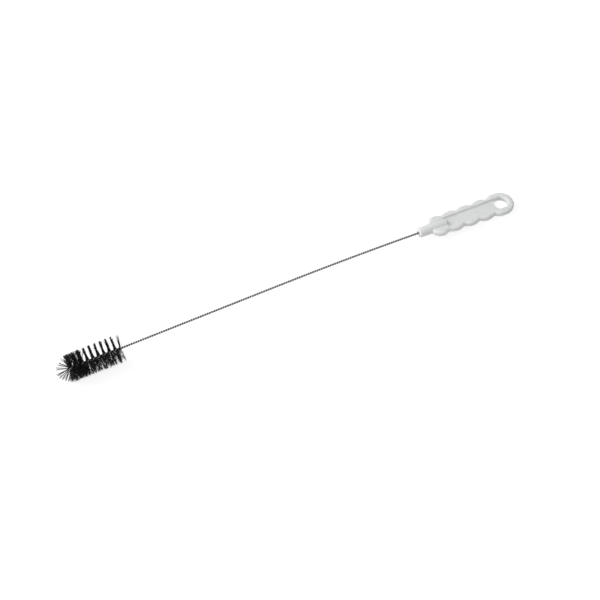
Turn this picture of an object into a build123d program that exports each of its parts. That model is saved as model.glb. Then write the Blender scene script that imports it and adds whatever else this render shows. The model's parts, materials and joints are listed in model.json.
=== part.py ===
from build123d import *
import os
from math import asin, atan2, ceil, cos, degrees, floor, hypot, pi, radians, sin, sqrt, tan

# Sizes are in millimetres and angles in degrees. The brush lies along X with its tip at -X.

# Wire: one length folded in half at the tip and twisted on itself, left-handed
wire_diameter = 1.15
wire_sides = 4
stem_pitch = 4.8
stem_facets_per_turn = 4.6
brush_pitch = 11.3
brush_facets_per_turn = 7
fold_facets = 4
fold_angle = -86.0
strand_clearance = 0.02

# Brush: filaments held between the two strands, trimmed to one radius
bristle_width = 0.28
bristle_clearance = 0.012
bristle_reach = 14.1
brush_length = 56.0
tuft_count = 18
tuft_front_angle = 36.0
tuft_back_angle = 84.0

# Stem: bare wire between the brush and the handle, straight at first and then drooping to the handle
stem_length = 319.0
stem_straight_length = 164.0

# Handle: a sleeve, a scalloped grip with a thin web inside its rim, and a hanging hole
sleeve_diameter = 9.9
sleeve_length = 31.0
sleeve_edge_bevel = 0.55
socket_depth = 20.0
socket_clearance = 0.05
grip_start = 12.7
grip_height = 6.2
grip_front_waist = 17.9
grip_back_waist = 19.5
lobe_count = 4
lobe_pitch = 17.1
lobe_depth = 2.75
valley_radius = 1.8
outer_edge_radius = 2.1
outer_edge_steps = 2
inner_edge_bevel = 1.05
panel_front_width = 11.0
web_thickness = 2.3
hang_hole_diameter = 14.2
ring_diameter = 26.7
ring_straight_length = 3.5

# The most of a rim's width that its rounded edges may take together
rim_rounding_share = 0.9

# Places along the handle, measured from the sleeve's open end
last_valley = grip_start + lobe_count * lobe_pitch
ring_crest = last_valley + lobe_pitch / 2
ring_centre = ring_crest + ring_straight_length
ring_radius = ring_diameter / 2

# Rounded edges of the grip's rim, limited by the rim where it is narrowest
rim_width = min(grip_front_waist - panel_front_width, grip_back_waist - hang_hole_diameter) / 2
rounding = min(rim_rounding_share * rim_width / (outer_edge_radius + inner_edge_bevel),
               rim_rounding_share * grip_height / (2 * outer_edge_radius), 1)
rim_outer_radius = rounding * outer_edge_radius
rim_inner_bevel = rounding * inner_edge_bevel

# The wire droops just enough for the handle's end to rest on the surface that the bristles stand on
sleeve_face = brush_length + stem_length
bend_start = brush_length + stem_straight_length
bend_length = stem_length - stem_straight_length
rest_arm = ring_centre + ring_radius - rim_outer_radius
droop = (bristle_reach - grip_height / 2) / (bend_length / 2 + rest_arm)
bend_radius = bend_length / droop

# A strand's section is a polygon with the area of the round wire and one flat towards its partner
section_radius = wire_diameter * sqrt(pi / (2 * wire_sides * sin(2 * pi / wire_sides)))
section_apothem = section_radius * cos(pi / wire_sides)
brush_gap = (bristle_width + bristle_clearance) / cos(pi / brush_facets_per_turn)
fold_radius = brush_gap / 2 + section_apothem
fold_centre = fold_radius + section_apothem
bristle_step = bristle_width + bristle_clearance


def axis_place(along):
    """Place on the brush's axis, at a distance along it from the fold of the wire."""
    bent = min(max(along - bend_start, 0), bend_length)
    after = max(along - bend_start - bend_length, 0)
    turn = bent / bend_radius
    x = min(along, bend_start) + bend_radius * sin(turn) + after * cos(turn)
    z = bend_radius * (cos(turn) - 1) - after * sin(turn)
    return Pos(x, 0, z) * Rot(0, degrees(turn), 0)


def twist(along):
    """Angle of the strands about the axis, in radians, with the brush twisted more slowly than the stem."""
    turns = min(along, brush_length) / brush_pitch + max(along - brush_length, 0) / stem_pitch
    return radians(fold_angle) - 2 * pi * turns


def skin(rings):
    """Closed solid of three-cornered facets between rings of points, where the first side dents as they turn."""
    facets = []
    for near, far in zip(rings, rings[1:]):
        facets.append(Face(Wire.make_polygon([near[-1], near[0], far[0]])))
        facets.append(Face(Wire.make_polygon([near[-1], far[0], far[-1]])))
        for i in range(1, len(near)):
            facets.append(Face(Wire.make_polygon([near[i - 1], near[i], far[i - 1]])))
            facets.append(Face(Wire.make_polygon([near[i], far[i], far[i - 1]])))
    facets.append(Face(Wire.make_polygon(rings[0])))
    facets.append(Face(Wire.make_polygon(rings[-1])))
    return Solid(Shell(facets))


def slant(centre_radius, pitch):
    """How much longer a strand's section is across the axis than square to the strand."""
    return hypot(1, 2 * pi * centre_radius / pitch)


def strand_reach(gap, pitch):
    """How far the outer corners of the strands stand from the axis."""
    half_side = section_radius * sin(pi / wire_sides) * slant(gap / 2 + section_apothem, pitch)
    return hypot(gap / 2 + 2 * section_apothem, half_side)


def section(place, centre, outward, side, stretch):
    """Corners of a strand's section, from its centre and its outward and sideways directions."""
    corners = []
    for i in range(wire_sides):
        angle = pi + (2 * i + 1) * pi / wire_sides
        reach_out = outward * (section_radius * cos(angle))
        reach_side = side * (section_radius * stretch * sin(angle))
        corners.append((place * Pos(centre + reach_out + reach_side)).position)
    return corners


def strand_stations():
    """Distances along the axis, pitch and gap between the strands at each joint of the facets."""
    brush_step = brush_pitch / brush_facets_per_turn
    brush_steps = ceil((brush_length - fold_centre) / brush_step)
    stem_run = stem_length + socket_depth
    stem_steps = ceil(stem_run * stem_facets_per_turn / stem_pitch)
    stations = []
    for i in range(brush_steps):
        along = fold_centre + i * (brush_length - fold_centre) / brush_steps
        stations.append((along, brush_pitch, brush_gap))
    stations.append((brush_length, brush_pitch, brush_gap))
    for i in range(stem_steps):
        along = brush_length + (i + 1) * stem_run / stem_steps
        stations.append((along, stem_pitch, strand_clearance))
    return stations


def make_twisted_wire():
    """Both strands and the fold that joins them, as one faceted wire."""
    first_strand = []
    second_strand = []
    for along, pitch, gap in strand_stations():
        outward = Vector(0, cos(twist(along)), sin(twist(along)))
        side = Vector(0, -sin(twist(along)), cos(twist(along)))
        centre_radius = gap / 2 + section_apothem
        stretch = slant(centre_radius, pitch)
        place = axis_place(along)
        first_strand.append(section(place, outward * centre_radius, outward, side, stretch))
        second_strand.append(section(place, outward * -centre_radius, outward * -1, side, stretch))
    fold = []
    outward = Vector(0, cos(twist(fold_centre)), sin(twist(fold_centre)))
    side = Vector(0, -sin(twist(fold_centre)), cos(twist(fold_centre)))
    for i in range(1, fold_facets):
        angle = i * pi / fold_facets
        spoke = outward * cos(angle) - Vector(1, 0, 0) * sin(angle)
        fold.append(section(axis_place(fold_centre), spoke * fold_radius, spoke, side, 1))
    return skin(first_strand[::-1] + fold + second_strand)


def filament_corners():
    """Corners of a filament's section: along the axis, and across the gap between the strands."""
    radius = bristle_width / sqrt(3)
    corners = []
    for i in range(3):
        angle = pi / 2 + i * 2 * pi / 3
        corners.append((radius * cos(angle), radius * sin(angle) - radius / 4))
    return corners


def make_filament(along, sweep):
    """One filament, straight through the wire and then swept forward at both ends to an angle from the axis."""
    place = axis_place(along) * Rot(degrees(twist(along)) + 90, 0, 0)
    bend = strand_reach(brush_gap, brush_pitch)
    arm = bristle_reach - bend
    tips = {-1: [], 1: []}
    bends = {-1: [], 1: []}
    for ahead, across in filament_corners():
        tip_x = ahead * sin(sweep) - arm * cos(sweep)
        tip_y = ahead * cos(sweep) + arm * sin(sweep) + bend
        bend_y = ahead * cos(sweep) / (1 + sin(sweep)) + bend
        for end in (-1, 1):
            tips[end].append((place * Pos(tip_x, end * tip_y, across)).position)
            bends[end].append((place * Pos(ahead, end * bend_y, across)).position)
    return skin([tips[-1], bends[-1], bends[1], tips[1]])


def make_tip_tuft():
    """The front filaments, swept forward past the fold, and where the spiral can start behind them."""
    front = radians(tuft_front_angle)
    back = radians(tuft_back_angle)
    filaments = []
    clear_of_fold = section_radius + bristle_width
    along = fold_centre + clear_of_fold / tan(front) + bristle_step / sin(front)
    for i in range(tuft_count):
        sweep = front + (back - front) * i / (tuft_count - 1)
        filaments.append(make_filament(along, sweep))
        along += bristle_step / sin(sweep)
    return Compound(filaments), along


def make_bristle_spiral(start):
    """Straight filaments through the wire, side by side, each turned with the strands that hold it."""
    section_sketch = Plane.XZ * make_face(Polyline(*filament_corners(), close=True))
    filament = extrude(section_sketch, amount=bristle_reach, both=True)
    count = floor((brush_length - start) / bristle_step)
    filaments = []
    for i in range(count):
        along = start + i * bristle_step
        place = axis_place(along) * Rot(degrees(twist(along)) + 90, 0, 0)
        filaments.append(place * filament.solid())
    return Compound(filaments)


def half_waist(x):
    """Half the grip's width in the valleys between its lobes, which grows towards the ring."""
    share = (x - grip_start) / (last_valley - grip_start)
    return (grip_front_waist + share * (grip_back_waist - grip_front_waist)) / 2


def grip_outline():
    """Flat outline of the grip and the ring: lobes as arcs, with rounded valleys."""
    shoulder = sqrt((sleeve_diameter / 2) ** 2 - (grip_height / 2) ** 2)
    start = (grip_start, shoulder)
    edges = Curve() + Line((grip_start, 0), start)
    valleys = []
    for i in range(1, lobe_count + 1):
        crest_x = grip_start + (i - 1 / 2) * lobe_pitch
        crest = (crest_x, half_waist(crest_x) + lobe_depth)
        valley_x = grip_start + i * lobe_pitch
        valley = (valley_x, half_waist(valley_x))
        edges += ThreePointArc(start, crest, valley)
        valleys.append(valley)
        start = valley
    ring_depth = ring_radius - half_waist(last_valley)
    neck_radius = ((lobe_pitch / 2) ** 2 + ring_depth ** 2) / (2 * ring_depth)
    middle_x = ring_crest - neck_radius * sin(lobe_pitch / (4 * neck_radius))
    middle_y = ring_radius - neck_radius * (1 - cos(lobe_pitch / (4 * neck_radius)))
    edges += ThreePointArc(start, (middle_x, middle_y), (ring_crest, ring_radius))
    edges += Line((ring_crest, ring_radius), (ring_centre, ring_radius))
    edges += CenterArc((ring_centre, 0), ring_radius, 90, -90)
    outline = make_face(edges + mirror(edges, Plane.XZ))
    corners = []
    for x, y in valleys:
        corners.append(outline.vertices().sort_by_distance((x, y, 0))[0])
        corners.append(outline.vertices().sort_by_distance((x, -y, 0))[0])
    return fillet(corners, valley_radius)


def panel_outline():
    """Flat outline of the sunk panel: straight sides from the sleeve's end that run on round the hanging hole."""
    front = panel_front_width / 2
    back = hang_hole_diameter / 2
    run = ring_centre - sleeve_length
    slope = asin(back / hypot(front, run)) - atan2(front, run)
    join_x = ring_centre - back * sin(slope)
    join_y = back * cos(slope)
    sides = Polyline((join_x, join_y), (sleeve_length, front), (sleeve_length, -front), (join_x, -join_y))
    return make_face(sides + ThreePointArc((join_x, join_y), (ring_centre + back, 0), (join_x, -join_y)))


def top_outline(layer):
    """The flat top of a layer, as the base of the next one."""
    return make_face(layer.faces().sort_by(Axis.Z)[-1].outer_wire().edges())


def make_half_rim():
    """The grip above its middle plane, filled in, with its outer edge rounded in steps."""
    layer = extrude(make_face(grip_outline().edges()), amount=grip_height / 2 - rim_outer_radius)
    half = layer
    for i in range(outer_edge_steps):
        low = i * pi / (2 * outer_edge_steps)
        high = (i + 1) * pi / (2 * outer_edge_steps)
        rise = rim_outer_radius * (sin(high) - sin(low))
        layer = extrude(top_outline(layer), amount=rise, taper=degrees(low + high) / 2)
        half += layer
    return half


def make_recess():
    """The hollow between the web and the top of the rim, with a bevel round its mouth."""
    depth = (grip_height - web_thickness) / 2
    floor_place = Pos(0, 0, web_thickness / 2)
    recess = extrude(floor_place * panel_outline(), amount=depth - rim_inner_bevel)
    mouth = extrude(top_outline(recess), amount=rim_inner_bevel, taper=-45)
    return recess + mouth


def make_handle():
    """The whole moulding, along X from the sleeve's open end."""
    half = make_half_rim() - make_recess()
    grip = half + mirror(half, Plane.XY)
    grip -= extrude(Pos(ring_centre, 0) * Circle(hang_hole_diameter / 2), amount=grip_height, both=True)
    sleeve = extrude(Plane.YZ * Circle(sleeve_diameter / 2), amount=sleeve_length)
    sleeve = chamfer(sleeve.edges().group_by(Axis.X)[0], sleeve_edge_bevel)
    socket_radius = strand_reach(strand_clearance, stem_pitch) + socket_clearance
    socket = extrude(Plane.YZ * Circle(socket_radius), amount=socket_depth)
    return grip + sleeve - socket


tip_tuft, spiral_start = make_tip_tuft()
pieces = {
    "handle": axis_place(sleeve_face) * make_handle(),
    "twisted_wire": make_twisted_wire(),
    "bristle_spiral": make_bristle_spiral(spiral_start),
    "tip_tuft": tip_tuft,
}
bounds = Compound(list(pieces.values())).bounding_box()
home = Pos(-bounds.center().X, -bounds.center().Y, -bounds.min.Z)

os.makedirs("parts", exist_ok=True)
for name, piece in pieces.items():
    export_step(home * piece, f"parts/{name}.step")

hole_place = home * axis_place(sleeve_face) * Pos(ring_centre, 0, 0)
print("hanging hole centre", hole_place.position, "droop", degrees(droop))
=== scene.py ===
import json
import random
from math import asin, atan2, ceil, cos, hypot, pi, radians, sin, sqrt

import bmesh
import bpy
from bpy.props import (
    FloatProperty, FloatVectorProperty, IntProperty, PointerProperty, StringProperty)
from mathutils import Matrix, Vector
from mathutils.geometry import intersect_sphere_sphere_2d
from mathutils.kdtree import KDTree


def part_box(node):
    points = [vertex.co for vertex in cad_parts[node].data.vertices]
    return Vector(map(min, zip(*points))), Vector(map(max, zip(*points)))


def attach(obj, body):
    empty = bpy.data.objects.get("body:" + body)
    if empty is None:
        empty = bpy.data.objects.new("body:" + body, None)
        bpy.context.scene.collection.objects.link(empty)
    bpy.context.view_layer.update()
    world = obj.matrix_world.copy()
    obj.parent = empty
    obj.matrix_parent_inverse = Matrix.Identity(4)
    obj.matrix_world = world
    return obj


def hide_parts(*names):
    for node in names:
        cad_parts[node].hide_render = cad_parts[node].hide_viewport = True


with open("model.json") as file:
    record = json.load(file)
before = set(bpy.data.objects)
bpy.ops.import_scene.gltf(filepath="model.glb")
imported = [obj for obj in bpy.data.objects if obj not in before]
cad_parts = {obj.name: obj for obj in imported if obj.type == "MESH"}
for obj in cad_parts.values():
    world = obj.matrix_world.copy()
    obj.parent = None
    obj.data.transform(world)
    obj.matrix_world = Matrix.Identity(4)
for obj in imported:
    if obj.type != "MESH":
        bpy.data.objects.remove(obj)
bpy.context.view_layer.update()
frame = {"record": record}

bl_info = {
    "name": "Bottle brush",
    "version": (1, 0, 0),
    "blender": (4, 5, 0),
    "location": "View3D > Sidebar > Brush",
    "description": "Dresses a bottle brush: twisted wire, bristles, moulded handle and stage",
    "category": "Object",
}

# The brush lies along X with its tip at -X, in metres, on a floor at zero.
wire_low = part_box("twisted_wire")[0]
head_low, head_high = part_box("bristle_spiral")
hang_hole = frame["record"]["mounts"][0]
hole_axis = Vector(hang_hole["axis"])
droop = atan2(hole_axis.x, hole_axis.z)
head_height = (head_low.z + head_high.z) / 2

# How finely the round forms are divided
FOLD_STEPS = 8
STRAND_RESOLUTION = 2
FILAMENT_RESOLUTION = 0
OUTER_STEPS = 5
INNER_STEPS = 4
ROUND_SIDES = 64
SOCKET_SIDES = 24

# Points along a filament as shares of its reach, and the share of its thickness lost at the tip
FILAMENT_SHARES = (0, 0.35, 0.7, 1)
FILAMENT_TAPER = 0.25

# The rim's inner edges are sharper than the mouth angle, and its rounded outer edges aren't
MOUTH_ANGLE = radians(60)
CREASE_ANGLE = radians(40)
LEVEL_TOLERANCE = 1e-6
MERGE_DISTANCE = 1e-7

# The floor in the picture: a grey that takes the shadow, and a glow that brings it up to white
WHITE = (1, 1, 1, 1)
FLOOR_SHADE = (0.3, 0.3, 0.3, 1)
FLOOR_GLOW = 0.8


class WireSettings(bpy.types.PropertyGroup):
    """Sizes and colour of the twisted wire."""

    diameter: FloatProperty(
        name="Diameter", description="Thickness of the drawn wire", default=0.00115, unit="LENGTH")
    head_pitch: FloatProperty(
        name="Head pitch", description="Length of one turn between the bristles",
        default=0.0113, unit="LENGTH")
    stem_pitch: FloatProperty(
        name="Stem pitch", description="Length of one turn of the bare stem",
        default=0.0048, unit="LENGTH")
    head_length: FloatProperty(
        name="Head length", description="Length of wire that holds bristles",
        default=0.056, unit="LENGTH")
    head_gap: FloatProperty(
        name="Head gap", description="Space between the strands where they hold bristles",
        default=0.0003, unit="LENGTH")
    straight_length: FloatProperty(
        name="Straight length", description="Length from the tip before the stem starts to droop",
        default=0.22, unit="LENGTH")
    bend_length: FloatProperty(
        name="Bend length", description="Length over which the stem droops to the handle",
        default=0.155, unit="LENGTH")
    fold_angle: FloatProperty(
        name="Fold angle", description="Turn of the fold about the wire",
        default=radians(-86), unit="ROTATION")
    socket_depth: FloatProperty(
        name="Socket depth", description="Length of wire inside the handle",
        default=0.02, unit="LENGTH")
    points_per_turn: IntProperty(
        name="Points per turn", description="Points along each turn of a strand", default=14, min=6)
    colour: StringProperty(
        name="Colour", description="Colour of bright drawn steel, as a hex value",
        default="#8E8D8B")


class BristleSettings(bpy.types.PropertyGroup):
    """Sizes and colour of the bristles."""

    clump_count: IntProperty(
        name="Clumps", description="Clumps of filaments along the spiral", default=285, min=1)
    front_count: IntProperty(
        name="Front clumps", description="More clumps of filaments close to the tip",
        default=105, min=0)
    clump_size: IntProperty(
        name="Clump size", description="Filaments in one clump", default=6, min=1)
    tip_count: IntProperty(
        name="Tip clumps", description="Clumps of filaments that fan out past the tip",
        default=22, min=1)
    diameter: FloatProperty(
        name="Diameter", description="Thickness of one filament", default=0.00022, unit="LENGTH")
    reach: FloatProperty(
        name="Reach", description="Distance from the wire to a filament's tip",
        default=0.0141, unit="LENGTH")
    trim_spread: FloatProperty(
        name="Trim spread", description="How unevenly the tips are trimmed",
        default=0.0006, unit="LENGTH")
    row_start: FloatProperty(
        name="Row start", description="Length from the fold to the first filaments",
        default=0.0028, unit="LENGTH")
    place_spread: FloatProperty(
        name="Place spread", description="How far a filament sits from its clump along the wire",
        default=0.00012, unit="LENGTH")
    clump_fan: FloatProperty(
        name="Clump fan", description="How far a clump turns out of its row",
        default=radians(4), unit="ROTATION")
    fan_spread: FloatProperty(
        name="Fan spread", description="How far a filament turns out of its clump",
        default=radians(2), unit="ROTATION")
    lean_spread: FloatProperty(
        name="Lean spread", description="How far a clump leans along the wire",
        default=radians(0.9), unit="ROTATION")
    hair_spread: FloatProperty(
        name="Hair spread", description="How far a filament leans out of its clump",
        default=radians(2.4), unit="ROTATION")
    front_lean: FloatProperty(
        name="Front lean", description="How much farther filaments lean close to the tip",
        default=radians(9), unit="ROTATION")
    front_length: FloatProperty(
        name="Front length", description="Length of wire with crowded filaments",
        default=0.016, unit="LENGTH")
    splay: FloatProperty(
        name="Splay",
        description="How much farther filaments lean on the side that the brush rests on",
        default=radians(8), unit="ROTATION")
    splay_side: FloatVectorProperty(
        name="Splay side", description="Direction of the side that the brush rests on",
        default=(0.0, -0.8, -0.6), subtype="DIRECTION")
    fade_length: FloatProperty(
        name="Fade length", description="Length over which the rows thin out before the stem",
        default=0.003, unit="LENGTH")
    wear: FloatProperty(
        name="Wear",
        description="How much shorter filaments are worn on the side that the brush rests on",
        default=0.0005, unit="LENGTH")
    tip_front: FloatProperty(
        name="Tip front", description="Least angle of the tip filaments from the wire",
        default=radians(12), unit="ROTATION")
    tip_back: FloatProperty(
        name="Tip back", description="Greatest angle of the tip filaments from the wire",
        default=radians(75), unit="ROTATION")
    seed: IntProperty(
        name="Seed", description="Start of the chance values that place the filaments",
        default=9, min=0)
    colour: StringProperty(
        name="Colour", description="Colour of black nylon, as a hex value", default="#0E0E10")


class HandleSettings(bpy.types.PropertyGroup):
    """Sizes and colour of the moulded handle, measured from the sleeve's open end."""

    sleeve_diameter: FloatProperty(
        name="Sleeve diameter", description="Width of the round sleeve",
        default=0.0099, unit="LENGTH")
    sleeve_length: FloatProperty(
        name="Sleeve length", description="Length of the round sleeve",
        default=0.031, unit="LENGTH")
    sleeve_rounding: FloatProperty(
        name="Sleeve rounding", description="Rounding of the sleeve's ends",
        default=0.0008, unit="LENGTH")
    socket_diameter: FloatProperty(
        name="Socket diameter", description="Width of the socket that holds the wire",
        default=0.0025, unit="LENGTH")
    grip_start: FloatProperty(
        name="Grip start", description="Where the grip leaves the sleeve",
        default=0.0127, unit="LENGTH")
    grip_height: FloatProperty(
        name="Grip height", description="Height of the rim", default=0.0062, unit="LENGTH")
    front_waist: FloatProperty(
        name="Front waist", description="Width between the valleys at the front",
        default=0.0179, unit="LENGTH")
    back_waist: FloatProperty(
        name="Back waist", description="Width between the valleys at the back",
        default=0.0195, unit="LENGTH")
    lobe_count: IntProperty(
        name="Lobes", description="Finger lobes along each side", default=4, min=1)
    lobe_pitch: FloatProperty(
        name="Lobe pitch", description="Length of one lobe", default=0.0171, unit="LENGTH")
    lobe_depth: FloatProperty(
        name="Lobe depth", description="Height of a lobe above its valleys",
        default=0.00275, unit="LENGTH")
    valley_radius: FloatProperty(
        name="Valley radius", description="Rounding between two lobes",
        default=0.0018, unit="LENGTH")
    ring_diameter: FloatProperty(
        name="Ring diameter", description="Width of the ring at the end",
        default=0.0267, unit="LENGTH")
    ring_straight: FloatProperty(
        name="Ring straight", description="Straight length before the ring turns",
        default=0.0035, unit="LENGTH")
    panel_width: FloatProperty(
        name="Panel width", description="Width of the sunk panel at the sleeve",
        default=0.011, unit="LENGTH")
    panel_lap: FloatProperty(
        name="Panel lap", description="Length of the panel inside the sleeve",
        default=0.0005, unit="LENGTH")
    web_thickness: FloatProperty(
        name="Web thickness", description="Thickness of the sunk panel",
        default=0.0023, unit="LENGTH")
    hole_lip: FloatProperty(
        name="Hole lip", description="How far the web stands into the hanging hole",
        default=0.0001, unit="LENGTH")
    outer_rounding: FloatProperty(
        name="Outer rounding", description="Rounding of the rim's outer edges",
        default=0.0022, unit="LENGTH")
    inner_rounding: FloatProperty(
        name="Inner rounding", description="Rounding of the rim's inner edges",
        default=0.001, unit="LENGTH")
    point_spacing: FloatProperty(
        name="Point spacing", description="Length of one step round the outline",
        default=0.0008, unit="LENGTH")
    colour: StringProperty(
        name="Colour", description="Colour of the white plastic, as a hex value", default="#E4E5E5")


class StageSettings(bpy.types.PropertyGroup):
    """Camera, lamps and floor."""

    azimuth: FloatProperty(
        name="Azimuth", description="Turn of the camera about the upright axis",
        default=radians(-26.876), unit="ROTATION")
    elevation: FloatProperty(
        name="Elevation", description="Height of the camera above the horizon",
        default=radians(52.096), unit="ROTATION")
    distance: FloatProperty(
        name="Distance", description="Distance from the camera to its target",
        default=2.2, unit="LENGTH")
    target: FloatVectorProperty(
        name="Target", description="Point on the floor at the middle of the picture",
        default=(-0.00025, -0.01517, 0.0), subtype="XYZ")
    lens: FloatProperty(
        name="Lens", description="Focal length on a 36 mm sensor, in millimetres", default=136.88)
    key_place: FloatVectorProperty(
        name="Key place", description="Place of the key lamp",
        default=(-1.13, 0.79, 1.16), subtype="XYZ")
    key_size: FloatProperty(
        name="Key size", description="Width of the key lamp", default=1.2, unit="LENGTH")
    key_power: FloatProperty(
        name="Key power", description="Power of the key lamp", default=24.0, unit="POWER")
    fill_place: FloatVectorProperty(
        name="Fill place", description="Place of the fill lamp",
        default=(-0.64, -0.8, 1.5), subtype="XYZ")
    fill_size: FloatProperty(
        name="Fill size", description="Width of the fill lamp", default=1.2, unit="LENGTH")
    fill_power: FloatProperty(
        name="Fill power", description="Power of the fill lamp", default=12.5, unit="POWER")
    sky_strength: FloatProperty(
        name="Sky strength", description="Strength of the light from all round", default=0.3)
    floor_width: FloatProperty(
        name="Floor width", description="Width of the floor", default=6.0, unit="LENGTH")
    floor_colour: StringProperty(
        name="Floor colour", description="Colour of the floor, as a hex value", default="#DADADA")


def linear(colour):
    """Linear colour of a hex value."""
    shares = [int(colour[i:i + 2], 16) / 255 for i in (1, 3, 5)]
    return [s / 12.92 if s <= 0.04045 else ((s + 0.055) / 1.055) ** 2.4 for s in shares] + [1.0]


def tinted(colour, share):
    """Linear colour of a hex value, made darker or lighter by a share."""
    return [share * c for c in linear(colour)[:3]] + [1.0]


def add_node(tree, kind, settings, values, links):
    """A shader node with its settings, its plain values and the sockets that feed it."""
    node = tree.nodes.new(kind)
    for name, value in settings.items():
        setattr(node, name, value)
    for name, value in values.items():
        node.inputs[name].default_value = value
    for name, socket in links.items():
        tree.links.new(socket, node.inputs[name])
    return node


def new_material(name):
    """An empty node material and its node tree."""
    material = bpy.data.materials.new(name)
    material.use_nodes = True
    material.node_tree.nodes.clear()
    return material, material.node_tree


def seen_directly(tree):
    """Socket that is 1 where the camera looks, also by metal or glass, and 0 for other light."""
    light_path = add_node(tree, "ShaderNodeLightPath", {}, {}, {})
    seen = light_path.outputs["Is Camera Ray"]
    for ray in ("Is Glossy Ray", "Is Transmission Ray"):
        either = add_node(tree, "ShaderNodeMath", {"operation": "MAXIMUM"}, {},
                          {0: seen, 1: light_path.outputs[ray]})
        seen = either.outputs["Value"]
    return seen


def show_piece(name, mesh, material, slot, *nodes):
    """Puts a finished mesh in the scene, in the place of the solids that it stands for."""
    piece = bpy.data.objects.new(name, mesh)
    bpy.context.scene.collection.objects.link(piece)
    mesh.materials.clear()
    mesh.materials.append(material)
    for face in mesh.polygons:
        face.use_smooth = True
    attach(piece, "root")
    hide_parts(*nodes)


def axis_place(wire, along):
    """Place on the brush's axis: level from the tip, then drooping to the handle."""
    bent = min(max(along - wire.straight_length, 0), wire.bend_length)
    after = max(along - wire.straight_length - wire.bend_length, 0)
    radius = wire.bend_length / droop
    turn = bent / radius
    x = wire_low.x + min(along, wire.straight_length) + radius * sin(turn) + after * cos(turn)
    z = head_height + radius * (cos(turn) - 1) - after * sin(turn)
    return Matrix.Translation((x, 0, z)) @ Matrix.Rotation(turn, 4, "Y")


def twist(wire, along):
    """Angle of the strands about the axis, left-handed, slower in the head than in the stem."""
    head_turns = min(along, wire.head_length) / wire.head_pitch
    stem_turns = max(along - wire.head_length, 0) / wire.stem_pitch
    return wire.fold_angle - 2 * pi * (head_turns + stem_turns)


def tube_mesh(name, paths, radius, resolution):
    """Mesh of round tubes along paths of points, each with its own share of the radius."""
    curve = bpy.data.curves.new(name, "CURVE")
    curve.dimensions = "3D"
    curve.bevel_depth = radius
    curve.bevel_resolution = resolution
    curve.use_fill_caps = True
    for path in paths:
        spline = curve.splines.new("POLY")
        spline.points.add(len(path) - 1)
        for point, (place, share) in zip(spline.points, path):
            point.co = (*place, 1)
            point.radius = share
    holder = bpy.data.objects.new(name, curve)
    mesh = bpy.data.meshes.new_from_object(holder)
    mesh.name = name
    bpy.data.objects.remove(holder)
    bpy.data.curves.remove(curve)
    return mesh


def drawn_steel(colour):
    """Bright drawn steel: uneven dull marks on the strands, and painted shade in their groove."""
    material, tree = new_material("drawn_steel_wire")
    coords = add_node(tree, "ShaderNodeTexCoord", {}, {}, {})
    # Drawing marks are finer on real wire, and are drawn 0.8 mm wide so that they show
    mark_size = 0.0008
    marks = add_node(tree, "ShaderNodeTexNoise", {}, {"Scale": 1 / mark_size, "Detail": 3.0},
                     {"Vector": coords.outputs["Object"]})
    tint = add_node(tree, "ShaderNodeMix", {"data_type": "RGBA"},
                    {"A": linear(colour), "B": tinted(colour, 0.62)},
                    {"Factor": marks.outputs["Fac"]})
    # Painted shade darkens the groove between the strands, towards the axis
    groove_shade = "#1C1B1A"
    groove = add_node(tree, "ShaderNodeAttribute", {"attribute_name": "from_axis"}, {}, {})
    unshaded = add_node(tree, "ShaderNodeMapRange", {}, {"From Min": 0.45, "From Max": 0.95},
                     {"Value": groove.outputs["Fac"]})
    # The painted groove shade gives way to the steel's own colour away from the axis
    tint = add_node(tree, "ShaderNodeMix", {"data_type": "RGBA"}, {"A": linear(groove_shade)},
                    {"Factor": unshaded.outputs["Result"], "B": tint.outputs["Result"]})
    gloss = add_node(tree, "ShaderNodeMapRange", {}, {"To Min": 0.22, "To Max": 0.36},
                     {"Value": marks.outputs["Fac"]})
    shader = add_node(tree, "ShaderNodeBsdfPrincipled", {}, {"Metallic": 1.0},
                      {"Base Color": tint.outputs["Result"], "Roughness": gloss.outputs["Result"]})
    add_node(tree, "ShaderNodeOutputMaterial", {}, {}, {"Surface": shader.outputs["BSDF"]})
    return material


def black_nylon(colour):
    """Extruded black nylon: near black, with a soft sheen that varies from filament to filament."""
    material, tree = new_material("black_nylon_filament")
    coords = add_node(tree, "ShaderNodeTexCoord", {}, {}, {})
    # Neighbouring filaments differ over about 0.6 mm
    variation_size = 0.0006
    variation = add_node(tree, "ShaderNodeTexNoise", {},
                         {"Scale": 1 / variation_size, "Detail": 1.0},
                         {"Vector": coords.outputs["Object"]})
    tint = add_node(tree, "ShaderNodeMix", {"data_type": "RGBA"},
                    {"A": tinted(colour, 0.5), "B": tinted(colour, 1.6)},
                    {"Factor": variation.outputs["Fac"]})
    shader = add_node(tree, "ShaderNodeBsdfPrincipled", {}, {"Roughness": 0.55, "IOR": 1.45},
                      {"Base Color": tint.outputs["Result"]})
    add_node(tree, "ShaderNodeOutputMaterial", {}, {}, {"Surface": shader.outputs["BSDF"]})
    return material


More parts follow.
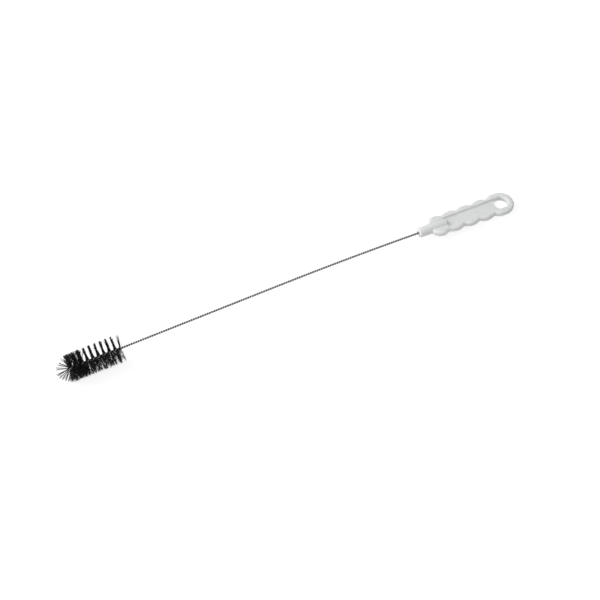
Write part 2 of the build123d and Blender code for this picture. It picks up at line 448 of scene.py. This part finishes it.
def moulded_plastic(colour):
    """Moulded white polypropylene: waxy, a little translucent, with a faint uneven surface."""
    material, tree = new_material("moulded_white_polypropylene")
    coords = add_node(tree, "ShaderNodeTexCoord", {}, {}, {})
    # Sink marks in the moulding are a few millimetres across
    sink_size = 0.006
    sink = add_node(tree, "ShaderNodeTexNoise", {}, {"Scale": 1 / sink_size, "Detail": 2.0},
                    {"Vector": coords.outputs["Object"]})
    gloss = add_node(tree, "ShaderNodeMapRange", {}, {"To Min": 0.3, "To Max": 0.42},
                     {"Value": sink.outputs["Fac"]})
    # Cloudy flow marks run through the plastic, about a centimetre apart
    flow_size = 0.01
    flow = add_node(tree, "ShaderNodeTexNoise", {},
                    {"Scale": 1 / flow_size, "Detail": 3.0, "Distortion": 1.5},
                    {"Vector": coords.outputs["Object"]})
    tint = add_node(tree, "ShaderNodeMix", {"data_type": "RGBA"},
                    {"A": tinted(colour, 0.94), "B": tinted(colour, 1.06)},
                    {"Factor": flow.outputs["Fac"]})
    bump = add_node(tree, "ShaderNodeBump", {}, {"Strength": 0.12, "Distance": 0.0003},
                    {"Height": sink.outputs["Fac"]})
    # Light goes about 3 mm into the plastic
    depth = 0.003
    shader = add_node(tree, "ShaderNodeBsdfPrincipled", {},
                      {"IOR": 1.49, "Subsurface Weight": 1.0,
                       "Subsurface Radius": (depth, depth, depth), "Subsurface Scale": 1.0},
                      {"Base Color": tint.outputs["Result"], "Roughness": gloss.outputs["Result"],
                       "Normal": bump.outputs["Normal"]})
    add_node(tree, "ShaderNodeOutputMaterial", {}, {}, {"Surface": shader.outputs["BSDF"]})
    return material


def circle_centre(a, b, c):
    """Centre of the circle through three points of a plane."""
    ab, ac = b - a, c - a
    twice = 2 * ab.cross(ac)
    x = (ac.y * ab.length_squared - ab.y * ac.length_squared) / twice
    y = (ab.x * ac.length_squared - ac.x * ab.length_squared) / twice
    return a + Vector((x, y))


def run_arc(bm, vert, centre, stop, spacing):
    """Spins an outline on from its last corner round a centre, and returns the new last corner."""
    before = vert.co.xy - centre
    after = stop - centre
    angle = atan2(before.cross(after), before.dot(after))
    steps = ceil(abs(angle) * before.length / spacing)
    made = bmesh.ops.spin(bm, geom=[vert], cent=(*centre, 0), axis=(0, 0, 1), angle=angle,
                          steps=steps)
    return next(part for part in made["geom_last"] if isinstance(part, bmesh.types.BMVert))


def close_outline(bm):
    """Mirrors half an outline and fills it."""
    bmesh.ops.mirror(bm, geom=bm.verts[:] + bm.edges[:], axis="Y", merge_dist=MERGE_DISTANCE)
    bmesh.ops.contextual_create(bm, geom=bm.edges[:])


def raise_outline(bm, height):
    """Makes a filled outline a slab with an upright wall."""
    made = bmesh.ops.extrude_face_region(bm, geom=bm.faces[:], use_keep_orig=True)
    verts = [part for part in made["geom"] if isinstance(part, bmesh.types.BMVert)]
    bmesh.ops.translate(bm, verts=verts, vec=(0, 0, height))
    bmesh.ops.recalc_face_normals(bm, faces=bm.faces[:])


def round_bar(radius, length, sides, place):
    """A round bar, along Z before it is placed."""
    bm = bmesh.new()
    bmesh.ops.create_cone(bm, cap_ends=True, segments=sides, radius1=radius, radius2=radius,
                          depth=length, matrix=place)
    return bm


def round_edges(bm, edges, width, steps):
    """Rounds the edges of a form."""
    bmesh.ops.bevel(bm, geom=edges, offset=width, offset_type="OFFSET", segments=steps,
                    profile=0.5, affect="EDGES", material=-1)


def to_mesh(bm, name):
    """Mesh of a finished form."""
    mesh = bpy.data.meshes.new(name)
    bm.to_mesh(mesh)
    bm.free()
    return mesh


def join_forms(mesh, operation, *tools):
    """Mesh that is joined to other meshes, or cut by them."""
    made = [bpy.data.objects.new(part.name, part) for part in (mesh, *tools)]
    for piece in made:
        bpy.context.scene.collection.objects.link(piece)
    for tool in made[1:]:
        cut = made[0].modifiers.new(tool.name, "BOOLEAN")
        cut.operation = operation
        cut.object = tool
        cut.solver = "EXACT"
    graph = bpy.context.evaluated_depsgraph_get()
    joined = bpy.data.meshes.new_from_object(made[0].evaluated_get(graph))
    for piece in made:
        bpy.data.meshes.remove(piece.data)
    return joined


class BRUSH_OT_wire(bpy.types.Operator):
    """Twists one folded wire into the stem, with its fold at the tip"""

    bl_idname = "bottle_brush.wire"
    bl_label = "Twisted wire"

    def execute(self, context):
        wire = context.scene.brush_wire
        radius = wire.diameter / 2
        fold_radius = radius + wire.head_gap / 2
        fold_centre = fold_radius + radius
        end = wire.straight_length + wire.bend_length + wire.socket_depth
        stations = []
        along = fold_centre
        while along < end:
            stations.append(along)
            pitch = wire.head_pitch if along < wire.head_length else wire.stem_pitch
            along += pitch / wire.points_per_turn
        stations.append(end)

        def strand(side):
            path = []
            for s in stations:
                offset = fold_radius if s < wire.head_length else radius
                turn = twist(wire, s)
                out = side * offset
                spot = Vector((0, out * cos(turn), out * sin(turn)))
                path.append((axis_place(wire, s) @ spot, 1))
            return path

        fold = []
        turn = twist(wire, fold_centre)
        for i in range(1, FOLD_STEPS):
            angle = pi * i / FOLD_STEPS
            out = fold_radius * cos(angle)
            spot = Vector((-fold_radius * sin(angle), out * cos(turn), out * sin(turn)))
            fold.append((axis_place(wire, fold_centre) @ spot, 1))
        path = strand(1)[::-1] + fold + strand(-1)
        mesh = tube_mesh("twisted_strands", [path], radius, STRAND_RESOLUTION)
        axis = KDTree(len(stations))
        for i, s in enumerate(stations):
            axis.insert(axis_place(wire, s).translation, i)
        axis.balance()
        reach = mesh.attributes.new("from_axis", "FLOAT", "POINT")
        for vert, share in zip(mesh.vertices, reach.data):
            centre = axis.find(vert.co)[0]
            share.value = (vert.co - centre).yz.length / wire.diameter
        show_piece("twisted_strands", mesh, drawn_steel(wire.colour), "steel_wire", "twisted_wire")
        return {"FINISHED"}


class BRUSH_OT_bristles(bpy.types.Operator):
    """Sets the filaments of the spiral rows and of the tip tuft between the strands"""

    bl_idname = "bottle_brush.bristles"
    bl_label = "Bristles"

    def execute(self, context):
        wire = context.scene.brush_wire
        brush = context.scene.brush_bristles
        nylon = black_nylon(brush.colour)
        chance = random.Random(brush.seed)

        def filament(along, angle, lean, bow, reach):
            place = axis_place(wire, along)
            reach -= abs(chance.gauss(0, brush.trim_spread))
            path = []
            for share in FILAMENT_SHARES:
                out = reach * share
                tilt = lean + bow * share
                spoke = Vector((0, cos(angle), sin(angle)))
                tip = spoke * (out * sin(tilt)) - Vector((out * cos(tilt), 0, 0))
                path.append((place @ tip, 1 - FILAMENT_TAPER * share))
            return path

        head_run = wire.head_length - brush.row_start
        places = [brush.row_start + (i + chance.random()) / brush.clump_count * head_run
                  for i in range(brush.clump_count)]
        places += [brush.row_start + chance.random() * brush.front_length
                   for i in range(brush.front_count)]
        rows = []
        for clump in places:
            if chance.random() < (clump - wire.head_length + brush.fade_length) / brush.fade_length:
                continue
            front = min(max(2 - 2 * (clump - brush.row_start) / brush.front_length, 0), 1)
            for side in (pi / 2, -pi / 2):
                middle = twist(wire, clump) + side + chance.gauss(0, brush.clump_fan)
                rests = max(Vector((0, cos(middle), sin(middle))).dot(brush.splay_side), 0)
                spread = brush.lean_spread + front * brush.front_lean + rests * brush.splay
                clump_lean = pi / 2 + chance.gauss(0, spread)
                bow = chance.gauss(0, spread / 2)
                reach = brush.reach - rests * abs(chance.gauss(0, brush.wear))
                for k in range(brush.clump_size):
                    along = clump + chance.gauss(0, brush.place_spread)
                    angle = middle + chance.gauss(0, brush.fan_spread)
                    lean = clump_lean + chance.gauss(0, brush.hair_spread)
                    rows.append(filament(along, angle, lean, bow, reach))
        tips = []
        for i in range(brush.tip_count):
            share = chance.random()
            lean = brush.tip_front + share * (brush.tip_back - brush.tip_front)
            along = brush.row_start * (1 + share)
            middle = chance.uniform(-pi, pi)
            bow = chance.gauss(0, brush.clump_fan)
            reach = brush.reach - abs(chance.gauss(0, brush.wear))
            for k in range(brush.clump_size):
                angle = middle + chance.gauss(0, brush.fan_spread)
                hair_lean = lean + chance.gauss(0, brush.fan_spread)
                tips.append(filament(along, angle, hair_lean, bow, reach))
        radius = brush.diameter / 2
        mesh = tube_mesh("bristle_rows", rows, radius, FILAMENT_RESOLUTION)
        show_piece("bristle_rows", mesh, nylon, "black_bristle", "bristle_spiral")
        mesh = tube_mesh("front_tuft", tips, radius, FILAMENT_RESOLUTION)
        show_piece("front_tuft", mesh, nylon, "black_bristle", "tip_tuft")
        return {"FINISHED"}


class BRUSH_OT_handle(bpy.types.Operator):
    """Moulds the handle: a scalloped rim round a sunk panel, a sleeve and a hanging hole"""

    bl_idname = "bottle_brush.handle"
    bl_label = "Handle"

    def execute(self, context):
        wire = context.scene.brush_wire
        handle = context.scene.brush_handle
        spacing = handle.point_spacing
        half_height = handle.grip_height / 2
        last_valley = handle.grip_start + handle.lobe_count * handle.lobe_pitch
        ring_crest = last_valley + handle.lobe_pitch / 2
        ring_radius = handle.ring_diameter / 2
        ring_centre = Vector((ring_crest + handle.ring_straight, 0))
        hole_radius = hang_hole["dims"]["r_mm"] / 1000

        def half_waist(x):
            share = (x - handle.grip_start) / (last_valley - handle.grip_start)
            return (handle.front_waist + share * (handle.back_waist - handle.front_waist)) / 2

        # Circles of the lobes, and of the neck that runs on to the ring
        shoulder = sqrt((handle.sleeve_diameter / 2) ** 2 - half_height ** 2)
        corner = Vector((handle.grip_start, shoulder))
        circles = []
        start = corner
        for i in range(handle.lobe_count):
            crest_x = handle.grip_start + (i + 0.5) * handle.lobe_pitch
            valley_x = handle.grip_start + (i + 1) * handle.lobe_pitch
            valley = Vector((valley_x, half_waist(valley_x)))
            crest = Vector((crest_x, half_waist(crest_x) + handle.lobe_depth))
            centre = circle_centre(start, crest, valley)
            circles.append((centre, (centre - start).length))
            start = valley
        rise = ring_radius - half_waist(last_valley)
        neck_radius = ((handle.lobe_pitch / 2) ** 2 + rise ** 2) / (2 * rise)
        circles.append((Vector((ring_crest, ring_radius - neck_radius)), neck_radius))

        # The rim's outline: arcs, each joined to the next one by a rounded valley
        bm = bmesh.new()
        front = bm.verts.new((handle.grip_start, 0, 0))
        vert = bm.verts.new((*corner, 0))
        bm.edges.new((front, vert))
        for (near, near_radius), (far, far_radius) in zip(circles, circles[1:]):
            reaches = near_radius + handle.valley_radius, far_radius + handle.valley_radius
            crossings = intersect_sphere_sphere_2d(near, reaches[0], far, reaches[1])
            middle = max(crossings, key=lambda spot: spot.y)
            vert = run_arc(bm, vert, near, near.lerp(middle, near_radius / reaches[0]), spacing)
            vert = run_arc(bm, vert, middle, far.lerp(middle, far_radius / reaches[1]), spacing)
        vert = run_arc(bm, vert, circles[-1][0], Vector((ring_crest, ring_radius)), spacing)
        last = bm.verts.new((ring_centre.x, ring_radius, 0))
        bm.edges.new((vert, last))
        run_arc(bm, last, ring_centre, ring_centre + Vector((ring_radius, 0)), spacing)
        close_outline(bm)
        raise_outline(bm, handle.grip_height)
        bmesh.ops.translate(bm, verts=bm.verts[:], vec=(0, 0, -half_height))
        level = [edge for edge in bm.edges if edge.verts[0].co.z == edge.verts[1].co.z]
        round_edges(bm, level, handle.outer_rounding, OUTER_STEPS)
        rim = to_mesh(bm, "rim")

        # The hollow over the panel, with straight sides that run on round the hanging hole
        panel_start = handle.sleeve_length - handle.panel_lap
        half_panel = handle.panel_width / 2
        run = ring_centre.x - panel_start
        slope = asin(hole_radius / hypot(half_panel, run)) - atan2(half_panel, run)
        join = ring_centre + Vector((-hole_radius * sin(slope), hole_radius * cos(slope)))
        bm = bmesh.new()
        front = bm.verts.new((panel_start, 0, 0))
        corner = bm.verts.new((panel_start, half_panel, 0))
        vert = bm.verts.new((*join, 0))
        bm.edges.new((front, corner))
        bm.edges.new((corner, vert))
        run_arc(bm, vert, ring_centre, ring_centre + Vector((hole_radius, 0)), spacing)
        close_outline(bm)
        raise_outline(bm, handle.grip_height)
        bmesh.ops.translate(bm, verts=bm.verts[:], vec=(0, 0, handle.web_thickness / 2))
        upper = bm.copy()
        bmesh.ops.scale(bm, verts=bm.verts[:], vec=(1, 1, -1))
        bmesh.ops.reverse_faces(bm, faces=bm.faces[:])
        hollows = to_mesh(upper, "upper_hollow"), to_mesh(bm, "lower_hollow")
        bm = round_bar(hole_radius - handle.hole_lip, 2 * handle.grip_height, ROUND_SIDES,
                       Matrix.Translation((ring_centre.x, 0, 0)))
        grip = join_forms(rim, "DIFFERENCE", *hollows, to_mesh(bm, "hole"))

        # The rim's inner edges are rounded too
        bm = bmesh.new()
        bm.from_mesh(grip)
        mouth = []
        for edge in bm.edges:
            if all(abs(abs(vert.co.z) - half_height) < LEVEL_TOLERANCE for vert in edge.verts):
                if edge.is_manifold and edge.calc_face_angle() > MOUTH_ANGLE:
                    mouth.append(edge)
        round_edges(bm, mouth, handle.inner_rounding, INNER_STEPS)
        bpy.data.meshes.remove(grip)
        grip = to_mesh(bm, "grip")

        # The sleeve, and the socket in it for the wire
        along_x = Matrix.Rotation(pi / 2, 4, "Y")
        bm = round_bar(handle.sleeve_diameter / 2, handle.sleeve_length, ROUND_SIDES,
                       Matrix.Translation((handle.sleeve_length / 2, 0, 0)) @ along_x)
        ends = [edge for edge in bm.edges if abs(edge.verts[0].co.x - edge.verts[1].co.x) < spacing]
        round_edges(bm, ends, handle.sleeve_rounding, INNER_STEPS)
        whole = join_forms(grip, "UNION", to_mesh(bm, "sleeve"))
        bm = round_bar(handle.socket_diameter / 2, 2 * wire.socket_depth, SOCKET_SIDES, along_x)
        mesh = join_forms(whole, "DIFFERENCE", to_mesh(bm, "socket"))
        mesh.name = "moulded_handle"
        mesh.transform(axis_place(wire, wire.straight_length + wire.bend_length))
        plastic = moulded_plastic(handle.colour)
        show_piece("moulded_handle", mesh, plastic, "white_plastic", "handle")
        mesh.set_sharp_from_angle(angle=CREASE_ANGLE)
        return {"FINISHED"}


class BRUSH_OT_stage(bpy.types.Operator):
    """Lays the floor, hangs the lamps and sets the camera"""

    bl_idname = "bottle_brush.stage"
    bl_label = "Stage"

    def execute(self, context):
        stage = context.scene.brush_stage
        scene = context.scene
        scene.view_settings.view_transform = "Standard"

        world = bpy.data.worlds.new("studio_white")
        world.use_nodes = True
        tree = world.node_tree
        tree.nodes.clear()
        soft = add_node(tree, "ShaderNodeBackground", {},
                        {"Color": WHITE, "Strength": stage.sky_strength}, {})
        white = add_node(tree, "ShaderNodeBackground", {}, {"Color": WHITE, "Strength": 1.0}, {})
        mixed = add_node(tree, "ShaderNodeMixShader", {}, {},
                         {"Fac": seen_directly(tree), 1: soft.outputs["Background"],
                          2: white.outputs["Background"]})
        add_node(tree, "ShaderNodeOutputWorld", {}, {}, {"Surface": mixed.outputs["Shader"]})
        scene.world = world

        material, tree = new_material("pale_floor")
        paint = add_node(tree, "ShaderNodeBsdfDiffuse", {},
                         {"Color": linear(stage.floor_colour)}, {})
        shaded = add_node(tree, "ShaderNodeBsdfDiffuse", {}, {"Color": FLOOR_SHADE}, {})
        glow = add_node(tree, "ShaderNodeEmission", {},
                        {"Color": WHITE, "Strength": FLOOR_GLOW}, {})
        pale = add_node(tree, "ShaderNodeAddShader", {}, {},
                        {0: shaded.outputs["BSDF"], 1: glow.outputs["Emission"]})
        mixed = add_node(tree, "ShaderNodeMixShader", {}, {},
                         {"Fac": seen_directly(tree), 1: paint.outputs["BSDF"],
                          2: pale.outputs["Shader"]})
        add_node(tree, "ShaderNodeOutputMaterial", {}, {}, {"Surface": mixed.outputs["Shader"]})
        bpy.ops.mesh.primitive_plane_add(size=stage.floor_width)
        floor = context.active_object
        floor.name = "floor"
        floor.data.materials.append(material)

        for name, place, size, power in (
                ("key_lamp", stage.key_place, stage.key_size, stage.key_power),
                ("fill_lamp", stage.fill_place, stage.fill_size, stage.fill_power)):
            lamp = bpy.data.lights.new(name, "AREA")
            lamp.size = size
            lamp.energy = power
            holder = bpy.data.objects.new(name, lamp)
            scene.collection.objects.link(holder)
            holder.location = place
            holder.rotation_euler = (-Vector(place)).to_track_quat("-Z", "Y").to_euler()

        a, e = stage.azimuth, stage.elevation
        back = Vector((sin(a) * cos(e), -cos(a) * cos(e), sin(e)))
        camera = bpy.data.objects.new("camera", bpy.data.cameras.new("camera"))
        scene.collection.objects.link(camera)
        camera.data.lens = stage.lens
        camera.location = Vector(stage.target) + back * stage.distance
        camera.rotation_euler = (pi / 2 - e, 0, a)
        scene.camera = camera
        return {"FINISHED"}


class BRUSH_PT_sidebar(bpy.types.Panel):
    """Lists the pieces of the brush and their sizes"""

    bl_idname = "BRUSH_PT_sidebar"
    bl_label = "Bottle brush"
    bl_space_type = "VIEW_3D"
    bl_region_type = "UI"
    bl_category = "Brush"

    def draw(self, context):
        for operator, group in PIECES:
            self.layout.operator(operator.bl_idname)
            settings = getattr(context.scene, group)
            for name in settings.__annotations__:
                self.layout.prop(settings, name)


GROUPS = {
    "brush_wire": WireSettings,
    "brush_bristles": BristleSettings,
    "brush_handle": HandleSettings,
    "brush_stage": StageSettings,
}
PIECES = (
    (BRUSH_OT_wire, "brush_wire"),
    (BRUSH_OT_bristles, "brush_bristles"),
    (BRUSH_OT_handle, "brush_handle"),
    (BRUSH_OT_stage, "brush_stage"),
)
CLASSES = (*GROUPS.values(), *(operator for operator, group in PIECES), BRUSH_PT_sidebar)


def register():
    for cls in CLASSES:
        bpy.utils.register_class(cls)
    for name, group in GROUPS.items():
        setattr(bpy.types.Scene, name, PointerProperty(type=group))


def unregister():
    for name in GROUPS:
        delattr(bpy.types.Scene, name)
    for cls in reversed(CLASSES):
        bpy.utils.unregister_class(cls)


def main():
    register()
    bpy.ops.bottle_brush.wire()
    bpy.ops.bottle_brush.bristles()
    bpy.ops.bottle_brush.handle()
    bpy.ops.bottle_brush.stage()


if __name__ == "__main__":
    main()
